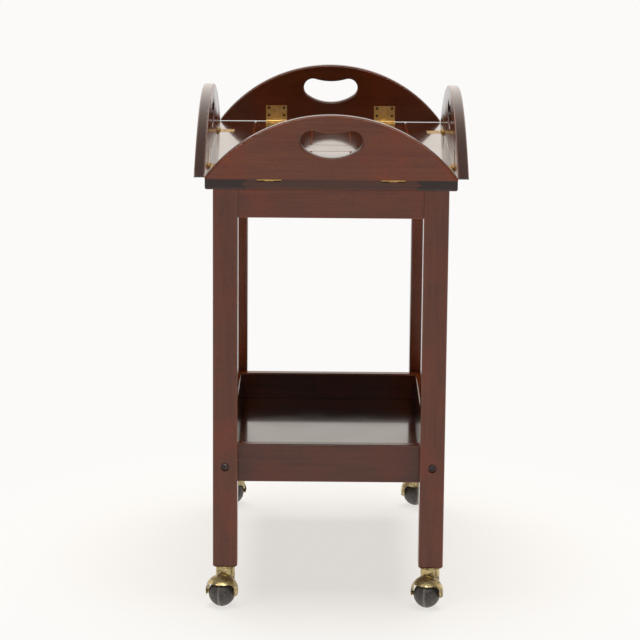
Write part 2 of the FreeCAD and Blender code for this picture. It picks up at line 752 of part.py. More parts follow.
def leaf_screw():
    """Countersunk slotted screw, head level with Z = 0."""
    depth = "(screw_head_radius - screw_radius)"
    head = cone("screw_head", "screw_radius", "screw_head_radius", depth, ("0", "0", f"-1 * {depth}"))
    shank = rod("screw_shank", "screw_radius", f"screw_length - {depth}", ("0", "0", "-1 * screw_length"))
    slot_size = ("3 * screw_head_radius", "screw_slot_width", "2 * screw_slot_depth")
    slot = block("screw_slot", slot_size, ("0", "0", "-1 * screw_slot_depth"))
    return cut("leaf_screw", fuse("leaf_screw_blank", [head, shank]), [slot])


def make_hinges():
    """Leaves, pins and screws of every flap's two hinges."""
    forms = {"tray_leaf": tray_leaf(), "flap_leaf": flap_leaf(), "screw": leaf_screw()}
    pin_start = ("-1 * hinge_width / 2", "0", "0")
    forms["pin"] = rod("hinge_pin", "hinge_pin_radius", "hinge_width", pin_start, "x")
    fixed = {"hinge_tray_leaves": [], "hinge_pins": [], "hinge_tray_screws": []}
    for side in SIDE_TURN:
        leaves = {kind: [] for kind in ("tray_leaf", "flap_leaf", "pin")}
        screws = {-1: [], 1: []}
        for index, offset in enumerate(hinge_offsets(side)):
            for kind, copies in leaves.items():
                copies.append(copy(f"{kind}_{side}_{index}", forms[kind], (offset, "0", "0")))
            for way, copies in screws.items():
                for number, (x, y) in enumerate(leaf_screw_points(offset, way)):
                    name = f"screw_{side}_{index}_{way + 1}_{number}"
                    copies.append(copy(name, forms["screw"], (x, y, "0")))
        for node, copies in zip(fixed, (leaves["tray_leaf"], leaves["pin"], screws[-1])):
            fixed[node].append(place(gather(f"{node}_{side}", copies), HINGE_LINE[side], flat_turn(side)))
        for node, copies in (("hinge_flap_leaves", leaves["flap_leaf"]), ("hinge_flap_screws", screws[1])):
            group = gather(f"{node}_{side}", copies)
            keep(place(group, HINGE_LINE[side], upright_turn(side)), f"{node}_{side}")
    for node, groups in fixed.items():
        keep(gather(node, groups), node)


# Flaps
def flap_outline(body, side):
    """Outline of a flap: hinge edge, two short tips and one arc."""
    tray_side, rise, _, gap = FLAP_SIZES[side]
    chord = f"({tray_side} - 2 * flap_end_gap)"
    half = SIZES[tray_side] / 2 - SIZES["flap_end_gap"]
    low = SIZES[gap]
    high = low + SIZES["flap_tip"]
    sagitta = SIZES[rise] - high
    radius = (half * half + sagitta * sagitta) / (2 * sagitta)
    middle = SIZES[rise] - radius
    end = math.atan2(high - middle, half)
    sketch = new_sketch(body, f"{body.Name}_outline")
    sketch.addGeometry(line((-half, low), (half, low)), False)
    sketch.addGeometry(line((half, low), (half, high)), False)
    sketch.addGeometry(arc((0, middle), radius, end, math.pi - end), False)
    sketch.addGeometry(line((-half, high), (-half, low)), False)
    for index in range(4):
        relate(sketch, "Coincident", index, 2, (index + 1) % 4, 1)
    relate(sketch, "Symmetric", 0, 1, 0, 2, -2)
    relate(sketch, "Vertical", 1)
    relate(sketch, "Vertical", 3)
    relate(sketch, "Equal", 1, 3)
    dimension(sketch, "chord", "DistanceX", 0, 1, 0, 2, drawn=2 * half, text=chord)
    dimension(sketch, "gap", "DistanceY", -1, 1, 0, 1, drawn=low, text=gap)
    dimension(sketch, "tip", "DistanceY", 1, 1, 1, 2, drawn=high - low, text="flap_tip")
    sag_text = f"({rise} - {gap} - flap_tip)"
    radius_text = f"({chord} ^ 2 / 4 + {sag_text} ^ 2) / (2 * {sag_text})"
    dimension(sketch, "arc_radius", "Radius", 2, drawn=radius, text=radius_text)
    return sketch, radius


def grip_outline(body):
    """Kidney-shaped handhole: two lobes, a sagging lower arc and a dipped upper arc."""
    spread = SIZES["grip_half_spread"]
    lobe = SIZES["grip_lobe_radius"]
    height = SIZES["grip_height"]
    dip = SIZES["grip_dip"]
    sag = SIZES["grip_sag"]
    upper = (spread * spread + dip * dip - lobe * lobe) / (2 * (lobe - dip))
    lower = (spread * spread + sag * sag - lobe * lobe) / (2 * (sag - lobe))
    low_angle = math.atan2(sag - lower, spread)
    top_angle = math.atan2(upper + dip, -spread)
    sketch = new_sketch(body, f"{body.Name}_grip")
    sketch.addGeometry(arc((0, height - sag + lower), lower, -math.pi - low_angle, low_angle), False)
    sketch.addGeometry(arc((spread, height), lobe, low_angle, top_angle), False)
    sketch.addGeometry(arc((0, height + dip + upper), upper, -top_angle, top_angle - math.pi), False)
    sketch.addGeometry(arc((-spread, height), lobe, math.pi - top_angle, math.pi - low_angle), False)
    for joint in ((0, 2, 1, 1), (1, 2, 2, 2), (2, 1, 3, 1), (3, 2, 0, 1)):
        relate(sketch, "Tangent", *joint)
    relate(sketch, "Equal", 1, 3)
    relate(sketch, "Symmetric", 1, 3, 3, 3, -2)
    dimension(sketch, "lobe", "Radius", 1, drawn=lobe, text="grip_lobe_radius")
    dimension(sketch, "spread", "DistanceX", 3, 3, 1, 3, drawn=2 * spread, text="2 * grip_half_spread")
    dimension(sketch, "height", "DistanceY", -1, 1, 1, 3, drawn=height, text="grip_height")
    upper_text = "(grip_half_spread ^ 2 + grip_dip ^ 2 - grip_lobe_radius ^ 2)"
    lower_text = "(grip_half_spread ^ 2 + grip_sag ^ 2 - grip_lobe_radius ^ 2)"
    upper_text += " / (2 * (grip_lobe_radius - grip_dip))"
    lower_text += " / (2 * (grip_sag - grip_lobe_radius))"
    dimension(sketch, "upper", "Radius", 2, drawn=upper, text=upper_text)
    dimension(sketch, "lower", "Radius", 0, drawn=lower, text=lower_text)
    return sketch


def make_flap(side):
    """Arched flap with a handhole, rounded edges, and seats for its hinge leaves."""
    name = f"flap_{side}"
    body = doc.addObject("PartDesign::Body", f"{name}_blank")
    outline, radius = flap_outline(body, side)
    pad = body.newObject("PartDesign::Pad", f"{name}_pad")
    pad.Profile = outline
    pad.Reversed = True
    bind(pad, Length="flap_thick")
    doc.recompute()
    whole = pad.Shape.Volume
    pocket = body.newObject("PartDesign::Pocket", f"{name}_pocket")
    pocket.Profile = grip_outline(body)
    bind(pocket, Length="flap_thick")
    doc.recompute()
    if pocket.Shape.Volume > whole - TOLERANCE:
        raise RuntimeError(f"{name}: the handhole is not cut")
    faces = (0, -SIZES["flap_thick"])

    def is_face_arc(edge, outer):
        if not isinstance(edge.Curve, Part.Circle) or not any(lies_at(edge, level) for level in faces):
            return False
        return (abs(edge.Curve.Radius - radius) < TOLERANCE) == outer

    dress(body, "Fillet", "grip_edge_round", lambda edge: is_face_arc(edge, False))
    dress(body, "Fillet", "flap_edge_round", lambda edge: is_face_arc(edge, True))
    flap = cut(name, body, [hinge_seats(f"{name}_seats", side, 1)])
    keep(place(flap, HINGE_LINE[side], upright_turn(side)), name)


# Casters are drawn about their stem with the ball trailing towards -Y
BALL_CENTRE = ("0", "-1 * caster_trail", "ball_radius")
HOOD_CENTRE = ("0", "-1 * caster_trail", "ball_radius + hood_lift")
EAR_OUTER = f"({HOOD_OUTER} ^ 2 - hood_lift ^ 2) ^ 0.5"


def hood_flare():
    """Leaning cone between the foot of the neck and the dome."""
    sections = []
    low = (*HOOD_CENTRE[:2], f"{HOOD_CENTRE[2]} + hood_flare_rise")
    high = ("0", "0", f"{NECK_TOP} - neck_height")
    for name, radius, centre in (("low", "hood_flare_radius", low), ("high", "neck_radius", high)):
        ring = doc.addObject("Part::Circle", f"hood_flare_{name}")
        bind(ring, Radius=radius)
        sections.append(place(ring, centre))
    flare = doc.addObject("Part::Loft", "hood_flare")
    flare.Sections = sections
    flare.Solid = True
    flare.Ruled = True
    return flare


def caster_hood():
    """Domed hood under a neck, arched open at front and back, with bossed ears on the axle."""
    dome = sphere("hood_dome", HOOD_OUTER, HOOD_CENTRE)
    neck = rod("hood_neck", "neck_radius", "neck_height", ("0", "0", f"{NECK_TOP} - neck_height"))
    room = sphere("hood_room", HOOD_INNER, HOOD_CENTRE)
    stem = rod("hood_stem_hole", "stem_radius", "stem_sink", ("0", "0", f"{NECK_TOP} - stem_sink"))
    blank = fuse("hood_blank", [dome, hood_flare(), neck])
    solids = [cut("hood_hollow", blank, [room, stem, *hood_openings()])]
    boss_inner = "(ball_half_width + hood_boss_gap)"
    boss_length = f"({HOOD_INNER} - {boss_inner})"
    for name, start in (("left", f"-1 * {HOOD_INNER}"), ("right", boss_inner)):
        boss_start = (start, *BALL_CENTRE[1:])
        solids.append(rod(f"hood_boss_{name}", "hood_boss_radius", boss_length, boss_start, "x"))
    axle_start = (f"-2 * {HOOD_OUTER}", *BALL_CENTRE[1:])
    axle = rod("hood_axle_hole", "axle_radius", f"4 * {HOOD_OUTER}", axle_start, "x")
    return cut("hood_form", fuse("hood_with_bosses", solids), [axle])


def hood_openings():
    """Round-cornered arch from front to back, all below the ears, and the wedges that taper them."""
    deep = f"4 * {HOOD_OUTER}"
    low = f"ball_radius - {HOOD_OUTER}"
    narrow = "(hood_arch_half - hood_arch_round)"
    shoulder = "(hood_rim_rise - hood_arch_round)"
    tools = [block("hood_below", (deep, deep, f"{HOOD_OUTER} - hood_ear_drop"), (*BALL_CENTRE[:2], low))]
    for name, half, rise in (("wide", "hood_arch_half", shoulder), ("tall", narrow, "hood_rim_rise")):
        size = (f"2 * {half}", deep, f"{HOOD_OUTER} + {rise}")
        tools.append(block(f"hood_arch_{name}", size, (*BALL_CENTRE[:2], low)))
    for name, sign in (("left", -1), ("right", 1)):
        start = (signed(sign, narrow), f"-1 * caster_trail - 2 * {HOOD_OUTER}", f"ball_radius + {shoulder}")
        tools.append(rod(f"hood_arch_{name}", "hood_arch_round", deep, start, "y"))
    for name, sign in (("front", -1), ("back", 1)):
        taper = doc.addObject("Part::Wedge", f"hood_taper_{name}")
        bind(taper, Xmin="hood_ear_half", X2min="hood_ear_root_half", Xmax=deep, X2max=deep)
        bind(taper, Ymin="-1 * hood_ear_drop", Ymax="hood_ear_taper")
        bind(taper, Zmin=f"-1 * {deep}", Z2min=f"-1 * {deep}", Zmax=deep, Z2max=deep)
        turn = FreeCAD.Rotation(sign * Y_AXIS, Z_AXIS, sign * X_AXIS, "XYZ")
        tools.append(place(taper, BALL_CENTRE, turn))
    return tools


def caster_ball():
    """Ball wheel with a narrow tread band, flattened sides and a bore, turned about X."""
    half, band = SIZES["ball_half_width"], SIZES["ball_band"] / 2
    bore = SIZES["axle_radius"] + SIZES["axle_clearance"]
    pole, tread = SIZES["ball_pole_radius"], SIZES["ball_radius"]
    side = SIZES["ball_side_radius"]
    span = FreeCAD.Vector(half - band, tread - pole)
    drop = math.sqrt(side * side - span.Length * span.Length / 4)
    centre_x = (half + band) / 2 - span.y / span.Length * drop
    centre_y = (pole + tread) / 2 - span.x / span.Length * drop
    low = math.atan2(pole - centre_y, half - centre_x)
    high = math.atan2(tread - centre_y, band - centre_x)
    body = doc.addObject("PartDesign::Body", "ball_form")
    sketch = new_sketch(body, "ball_profile")
    sketch.addGeometry(line((-half, bore), (-half, pole)), False)
    sketch.addGeometry(arc((-centre_x, centre_y), side, math.pi - high, math.pi - low), False)
    sketch.addGeometry(line((-band, tread), (band, tread)), False)
    sketch.addGeometry(arc((centre_x, centre_y), side, low, high), False)
    sketch.addGeometry(line((half, pole), (half, bore)), False)
    sketch.addGeometry(line((half, bore), (-half, bore)), False)
    for joint in ((0, 2, 1, 2), (1, 1, 2, 1), (2, 2, 3, 2), (3, 1, 4, 1), (4, 2, 5, 1), (5, 2, 0, 1)):
        relate(sketch, "Coincident", *joint)
    relate(sketch, "Symmetric", 2, 1, 2, 2, -2)
    relate(sketch, "Symmetric", 0, 1, 4, 2, -2)
    relate(sketch, "Vertical", 0)
    relate(sketch, "Vertical", 4)
    relate(sketch, "Equal", 0, 4)
    relate(sketch, "Equal", 1, 3)
    dimension(sketch, "side", "Radius", 1, drawn=side, text="ball_side_radius")
    dimension(sketch, "band", "DistanceX", 2, 1, 2, 2, drawn=2 * band, text="ball_band")
    dimension(sketch, "tread", "DistanceY", -1, 1, 2, 1, drawn=tread, text="ball_radius")
    dimension(sketch, "width", "DistanceX", 0, 1, 4, 2, drawn=2 * half, text="2 * ball_half_width")
    dimension(sketch, "bore", "DistanceY", -1, 1, 0, 1, drawn=bore, text="axle_radius + axle_clearance")
    dimension(sketch, "pole", "DistanceY", -1, 1, 0, 2, drawn=pole, text="ball_pole_radius")
    turned = body.newObject("PartDesign::Revolution", "ball_turned")
    turned.Profile = sketch
    turned.ReferenceAxis = (sketch, ["H_Axis"])
    turned.Angle = 360
    doc.recompute()
    return place(body, BALL_CENTRE)


def caster_socket():
    """Flanged sleeve in the foot of a leg."""
    flange_start = ("0", "0", "floor_to_leg - socket_flange_thick")
    flange = rod("socket_flange", "socket_flange_radius", "socket_flange_thick", flange_start)
    sleeve = rod("socket_sleeve", "socket_radius", "socket_length", ("0", "0", "floor_to_leg"))
    bore_length = "socket_length + socket_flange_thick"
    bore = rod("socket_bore", "stem_radius + stem_clearance", bore_length, flange_start)
    return cut("socket_form", fuse("socket_blank", [flange, sleeve]), [bore])


def make_casters():
    """A socket, stem, hood, axle and ball under each leg."""
    stem_length = f"floor_to_leg + socket_length - stem_end_gap - {NECK_TOP} + stem_sink"
    axle_half = f"({EAR_OUTER} + axle_proud)"
    axle_start = (f"-1 * {axle_half}", *BALL_CENTRE[1:])
    forms = {
        "hood": caster_hood(),
        "stem": rod("stem_form", "stem_radius", stem_length, ("0", "0", f"{NECK_TOP} - stem_sink")),
        "axle": rod("axle_form", "axle_radius", f"2 * {axle_half}", axle_start, "x"),
        "ball": caster_ball(),
    }
    socket = caster_socket()
    sockets = []
    for corner, (side_x, side_y) in CORNERS.items():
        foot = (signed(side_x, LEG_X), signed(side_y, LEG_Y), "0")
        turn = FreeCAD.Rotation(Z_AXIS, CASTER_TURN[corner])
        sockets.append(copy(f"socket_{corner}", socket, foot))
        for kind, form in forms.items():
            keep(copy(f"{kind}_{corner}", form, foot, turn), f"caster_{kind}_{corner}")
    keep(gather("caster_sockets", sockets), "caster_sockets")


def write_parts():
    """Check every object and write each sub-part to its own file."""
    doc.recompute()
    for item in doc.Objects:
        if "Invalid" in item.State or "Error" in item.State:
            raise RuntimeError(f"{item.Label} failed: {item.State}")
    for node, item in nodes.items():
        if item.Shape.isNull() or not item.Shape.isValid() or not item.Shape.Solids:
            raise RuntimeError(f"{node} has no valid shape")
    os.makedirs("parts", exist_ok=True)
    for node, item in nodes.items():
        item.Shape.exportStep(f"parts/{node}.step")
    print(len(nodes), "sub-parts written")


for corner in CORNERS:
    make_leg(corner)
for node, rail in RAILS.items():
    make_rail(node, rail)
make_shelf()
make_dowels()
make_bolts()
make_cleats()
make_tray()
make_hinges()
for side in SIDE_TURN:
    make_flap(side)
make_casters()
write_parts()
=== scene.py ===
"""Finishes, light and camera for the tea trolley, laid out as an add-on and run as a script."""

import json
import math

import bmesh
import bpy
from bpy.props import FloatProperty, FloatVectorProperty, PointerProperty
from mathutils import Matrix, Vector


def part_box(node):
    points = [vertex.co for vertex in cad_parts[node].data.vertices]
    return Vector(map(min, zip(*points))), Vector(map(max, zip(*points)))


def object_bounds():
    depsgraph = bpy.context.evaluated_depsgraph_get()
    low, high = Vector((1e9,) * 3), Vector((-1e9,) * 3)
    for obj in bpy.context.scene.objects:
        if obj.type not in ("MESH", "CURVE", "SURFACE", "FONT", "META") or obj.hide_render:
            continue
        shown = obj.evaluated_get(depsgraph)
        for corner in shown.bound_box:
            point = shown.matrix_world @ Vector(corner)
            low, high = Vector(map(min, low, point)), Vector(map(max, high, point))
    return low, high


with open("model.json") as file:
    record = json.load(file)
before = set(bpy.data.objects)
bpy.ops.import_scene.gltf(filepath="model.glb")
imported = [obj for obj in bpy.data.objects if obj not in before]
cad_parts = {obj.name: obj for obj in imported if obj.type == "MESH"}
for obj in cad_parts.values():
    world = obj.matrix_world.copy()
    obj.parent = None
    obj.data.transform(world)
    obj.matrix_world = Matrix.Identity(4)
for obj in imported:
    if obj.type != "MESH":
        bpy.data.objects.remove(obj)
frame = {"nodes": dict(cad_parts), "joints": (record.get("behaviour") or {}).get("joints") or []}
CAD_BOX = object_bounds()

bl_info = {
    "name": "Tea Trolley Finishes",
    "version": (1, 0, 0),
    "blender": (4, 5, 0),
    "location": "3D View > Sidebar > Trolley",
    "description": "Lacquered mahogany, aged brass and rubber for a tea trolley, with its stage",
    "category": "Material",
}

MM = 0.001
BLACK = (0, 0, 0, 1)
SENSOR_WIDTH = 36
FLOOR_SIDES = 96
SIDES = ("front", "rear", "left", "right")
CORNERS = ("front_left", "front_right", "rear_left", "rear_right")
GRAIN = {"front": "x", "rear": "x", "left": "y", "right": "y"}

# Painted shade: share of the stain's lightness each group keeps, darker where less light falls
LEG_LIT_SHARE = 0.82
RAIL_LIT_SHARE = {"apron": 0.95, "shelf_rail": 0.64}
SHELF_LIT_SHARE = 0.35
TRAY_LIT_SHARE = 0.45
FLAP_LIT_SHARE = {"front": 1.0, "rear": 0.5, "left": 0.7, "right": 0.7}

# Shares of a second coat of lacquer on board tops and flap edges
SHELF_POLISH = 0.75
TRAY_POLISH = 1.0
FLAP_POLISH = {"front": 0.2, "rear": 0.2, "left": 1.0, "right": 1.0}

# Rounding of the edges that are rubbed
LEG_ROUNDING = 3 * MM
RAIL_ROUNDING = {"apron": 1.5 * MM, "shelf_rail": 3 * MM}
ROUNDING_CORE = 0.3

# Where in the noise each group of pieces is cut, so that no two show the same figure
RAIL_SHIFT = {"apron": (0.3, 0.3, 0.1), "shelf_rail": (0.7, 0.9, 0.4)}
SHELF_SHIFT = (1.3, 0.2, 0.6)
FLAP_SHIFT = (0.1, 0.6, 3.4)

# Spans of the noise over which each mark in the wood comes up, and how strong it gets
FIGURE_BEND, RIBBON_SHARE = 0.8, 0.45
BAND_SPAN = (0.3, 0.7)
BLOTCH_SPAN, BLOTCH_SHARE = (0.45, 0.7), 0.7
PORE_SPAN, PORE_SHARE = (0.57, 0.68), 0.4
CHIP_SPAN = (0.69, 0.72)
FLECK_SPAN = (0.5, 0.7)

# Spans of the normal along an axis that tell sawn ends, board tops and flap edges
SAWN_SPAN, SAWN_SHARE = (0.3, 0.9), 0.85
TOP_SPAN = (0.75, 0.95)
EDGE_SPAN, EDGE_SHARE = (0.85, 0.4), 0.9

# Fine patterns: width and length of a streak, or size of a patch
FLECK_SIZE, BEECH_BAND = (0.6 * MM, 6 * MM), (8 * MM, 150 * MM)
MARK_SIZE = (0.8 * MM, 14 * MM)
SCUFF_SIZE = 4 * MM
FIBRE_SIZE, FIBRE_SHARE = 60 * MM, 0.06

# Strength and depth of relief
PORE_RELIEF = (0.25, 0.04 * MM)
FLECK_RELIEF = (0.3, 0.1 * MM)
SCUFF_RELIEF = (0.2, 0.1 * MM)
MARK_DEPTH = 0.05 * MM

# Lacquer, from clear to hazy, and its second coat
HAZE_SPAN, HAZE_ROUGHNESS = (0.3, 0.7), (0.12, 0.2)
SAWN_ROUGHNESS = 0.2
TOP_COAT_ROUGHNESS = 0.06
EDGE_COAT_ROUGHNESS = 0.15
LACQUER_IOR = 1.5
BEECH_ROUGHNESS = (0.5, 0.7)

# Tarnish: where its patches end, how soft they end, how far rubbing thins it, and metal left under it
PATCH_MIDDLE, PATCH_REACH, PATCH_SOFT = 0.66, 0.32, 0.1
WORN_SPAN, WORN_SHARE = (0.35, 0.65), 0.75
FILMED_METAL = 0.4

# Rubber: dust on the balls, and the paler band round them
BAND_SOFT, BAND_SHARE = (1.4, 0.4), 0.7
DUST_SPAN, DUST_SHARE = (0.4, 0.75), (0.05, 0.4)
RUBBER_ROUGHNESS = (0.35, 0.6)
RUBBER_IOR = 1.52

# Paper of the floor
PAPER_ROUGHNESS = 0.9
PAPER_SPECULAR = 0.1

# Room: where it dims to the front and overhead
FRONT_SPAN = (-0.4, 0.2)
ABOVE_SPAN = (0.35, 0.9)


def linear(code):
    """Linear RGBA of an sRGB hex colour."""
    channels = [int(code[start:start + 2], 16) / 255 for start in (0, 2, 4)]
    return (*(c / 12.92 if c <= 0.04045 else ((c + 0.055) / 1.055) ** 2.4 for c in channels), 1.0)


def feed(tree, node, inputs):
    """Give each named input of a node a value or a link."""
    for name, value in inputs.items():
        if isinstance(value, bpy.types.NodeSocket):
            tree.links.new(value, node.inputs[name])
        else:
            node.inputs[name].default_value = value


def add(tree, kind, inputs=(), **settings):
    """Add a node with its settings, and feed its inputs."""
    node = tree.nodes.new(kind)
    for name, value in settings.items():
        setattr(node, name, value)
    feed(tree, node, dict(inputs))
    return node


def maths(tree, operation, *values):
    """Result of an operation on one or more numbers."""
    return add(tree, "ShaderNodeMath", dict(enumerate(values)), operation=operation).outputs[0]


def vectors(tree, operation, *values):
    """Outputs of an operation on one or more vectors."""
    return add(tree, "ShaderNodeVectorMath", dict(enumerate(values)), operation=operation).outputs


def mixed(tree, share, first, second):
    """Colour between two others, the first at share 0 and the second at share 1."""
    return add(tree, "ShaderNodeMix", {0: share, 6: first, 7: second}, data_type="RGBA").outputs[2]


def ranged(tree, value, span=(0.0, 1.0), reach=(0.0, 1.0), **settings):
    """Value moved from a span to another reach, and held at its ends."""
    inputs = {
        "Value": value, "From Min": span[0], "From Max": span[1], "To Min": reach[0], "To Max": reach[1]}
    return add(tree, "ShaderNodeMapRange", inputs, **settings).outputs["Result"]


def noise(tree, place, size, detail, **more):
    """Even noise, from the size of one patch."""
    inputs = {"Vector": place, "Scale": 1 / size, "Detail": detail, **more}
    return add(tree, "ShaderNodeTexNoise", inputs).outputs["Fac"]


def bumped(tree, height, strength, depth, invert=False):
    """Normal that follows a height."""
    inputs = {"Strength": strength, "Distance": depth, "Height": height}
    return add(tree, "ShaderNodeBump", inputs, invert=invert).outputs["Normal"]


def new_material(name):
    """A material with only a principled shader on its output."""
    material = bpy.data.materials.new(name)
    material.use_nodes = True
    tree = material.node_tree
    tree.nodes.clear()
    shader = add(tree, "ShaderNodeBsdfPrincipled")
    add(tree, "ShaderNodeOutputMaterial", {"Surface": shader.outputs["BSDF"]})
    return material, tree, shader


def dress(material, *names):
    """Give nodes of the trolley a material."""
    for name in names:
        slots = frame["nodes"][name].material_slots
        if not slots:
            raise RuntimeError(f"{name} has no material slot")
        for slot in slots:
            slot.material = material


# Sizes and colours that a user would change

class WoodSettings(bpy.types.PropertyGroup):
    """Stain, grain and lacquer of the mahogany, and the plain beech inside the frame."""
    stain_dark: FloatVectorProperty(
        name="Dark stain", description="Stain in the dense bands of the wood",
        subtype="COLOR", size=4, min=0, max=1, default=linear("682A0C"))
    stain_light: FloatVectorProperty(
        name="Light stain", description="Stain in the open bands of the wood",
        subtype="COLOR", size=4, min=0, max=1, default=linear("8A4418"))
    stain_red: FloatVectorProperty(
        name="Red stain", description="Blotches where the stain took redder",
        subtype="COLOR", size=4, min=0, max=1, default=linear("943A0E"))
    pore_colour: FloatVectorProperty(
        name="Pores", description="Filled pores along the grain",
        subtype="COLOR", size=4, min=0, max=1, default=linear("2C130C"))
    end_grain: FloatVectorProperty(
        name="End grain", description="Sawn ends, which take more stain and look greyer",
        subtype="COLOR", size=4, min=0, max=1, default=linear("46342D"))
    # Painted shade on the edges of the flaps, which are darker than the faces
    shaded_edge: FloatVectorProperty(
        name="Flap edges", description="Edges of the flaps, where the stain is thick",
        subtype="COLOR", size=4, min=0, max=1, default=linear("2A130D"))
    # Painted shade on the tops of the boards: the share of the stain's lightness they keep
    top_lit_share: FloatProperty(
        name="Board stain", description="How much of the stain's lightness the tops of the boards keep",
        subtype="FACTOR", min=0, max=1, default=0.4)
    rubbed_edge: FloatVectorProperty(
        name="Rubbed edge", description="Rounded edges where the stain is thin",
        subtype="COLOR", size=4, min=0, max=1, default=linear("9A5E3C"))
    bare_chip: FloatVectorProperty(
        name="Chips", description="Bare wood where an edge was knocked",
        subtype="COLOR", size=4, min=0, max=1, default=linear("C79B6B"))
    beech: FloatVectorProperty(
        name="Beech", description="Planed beech of dowels and cleats",
        subtype="COLOR", size=4, min=0, max=1, default=linear("C9A274"))
    beech_fleck: FloatVectorProperty(
        name="Beech fleck", description="Darker flecks in the beech",
        subtype="COLOR", size=4, min=0, max=1, default=linear("A87C50"))
    figure_width: FloatProperty(
        name="Figure width", description="Width of the broad light and dark bands",
        subtype="DISTANCE", unit="LENGTH", default=22 * MM)
    figure_length: FloatProperty(
        name="Figure length", description="Length of the broad bands along the grain",
        subtype="DISTANCE", unit="LENGTH", default=280 * MM)
    ribbon_width: FloatProperty(
        name="Ribbon width", description="Width of the fine stripes",
        subtype="DISTANCE", unit="LENGTH", default=3.5 * MM)
    ribbon_length: FloatProperty(
        name="Ribbon length", description="Length of the fine stripes",
        subtype="DISTANCE", unit="LENGTH", default=120 * MM)
    pore_width: FloatProperty(
        name="Pore width", description="Width of a pore as drawn",
        subtype="DISTANCE", unit="LENGTH", default=0.8 * MM)
    pore_length: FloatProperty(
        name="Pore length", description="Length of a pore as drawn",
        subtype="DISTANCE", unit="LENGTH", default=9 * MM)
    blotch_size: FloatProperty(
        name="Blotch size", description="Size of the redder blotches in the stain",
        subtype="DISTANCE", unit="LENGTH", default=70 * MM)
    chip_size: FloatProperty(
        name="Chip size", description="Size of the chips on the edges",
        subtype="DISTANCE", unit="LENGTH", default=5 * MM)


class MetalSettings(bpy.types.PropertyGroup):
    """Brass and steel of the hinges, casters and fasteners, and the rubber of the balls."""
    hinge_brass: FloatVectorProperty(
        name="Hinge brass", description="Rolled brass of the hinge leaves",
        subtype="COLOR", size=4, min=0, max=1, default=linear("D8B26A"))
    hinge_film: FloatVectorProperty(
        name="Hinge tarnish", description="Brown film on the hinge leaves",
        subtype="COLOR", size=4, min=0, max=1, default=linear("B08A50"))
    # Painted shade: the screw heads are painted dark for the shade in their recesses, under real tarnish
    screw_brass: FloatVectorProperty(
        name="Screws", description="Heads of the hinge screws",
        subtype="COLOR", size=4, min=0, max=1, default=linear("6A5028"))
    screw_film: FloatVectorProperty(
        name="Screw tarnish", description="Dark film on the hinge screws",
        subtype="COLOR", size=4, min=0, max=1, default=linear("3A2A14"))
    caster_brass: FloatVectorProperty(
        name="Caster brass", description="Pressed brass of the caster hoods",
        subtype="COLOR", size=4, min=0, max=1, default=linear("D0BA86"))
    # Partly painted shade: the tarnish on the hoods is made darker to stand for the shade under the legs
    caster_film_and_shade: FloatVectorProperty(
        name="Caster tarnish", description="Greenish brown film on the caster hoods",
        subtype="COLOR", size=4, min=0, max=1, default=linear("6C5E3C"))
    bolt_steel: FloatVectorProperty(
        name="Bolt steel", description="Worn spots of the blackened bolt heads",
        subtype="COLOR", size=4, min=0, max=1, default=linear("6A5F59"))
    bolt_black: FloatVectorProperty(
        name="Bolt blacking", description="Blacking of the bolt heads",
        subtype="COLOR", size=4, min=0, max=1, default=linear("3A322E"))
    plain_steel: FloatVectorProperty(
        name="Plain steel", description="Drawn steel of axles, stems, nuts and screws",
        subtype="COLOR", size=4, min=0, max=1, default=linear("BDBCB9"))
    steel_film: FloatVectorProperty(
        name="Steel film", description="Dull film on the plain steel",
        subtype="COLOR", size=4, min=0, max=1, default=linear("86817A"))
    patch_size: FloatProperty(
        name="Tarnish size", description="Size of the patches of tarnish",
        subtype="DISTANCE", unit="LENGTH", default=9 * MM)
    ball_black: FloatVectorProperty(
        name="Ball", description="Moulded rubber of the caster balls",
        subtype="COLOR", size=4, min=0, max=1, default=linear("38322F"))
    # The paler band round each ball takes this colour too
    ball_dust: FloatVectorProperty(
        name="Dust", description="Dust and scuffs on the balls and their tread band",
        subtype="COLOR", size=4, min=0, max=1, default=linear("9C948C"))
    band_width: FloatProperty(
        name="Band width", description="Width of the pale band round each ball",
        subtype="DISTANCE", unit="LENGTH", default=4 * MM)


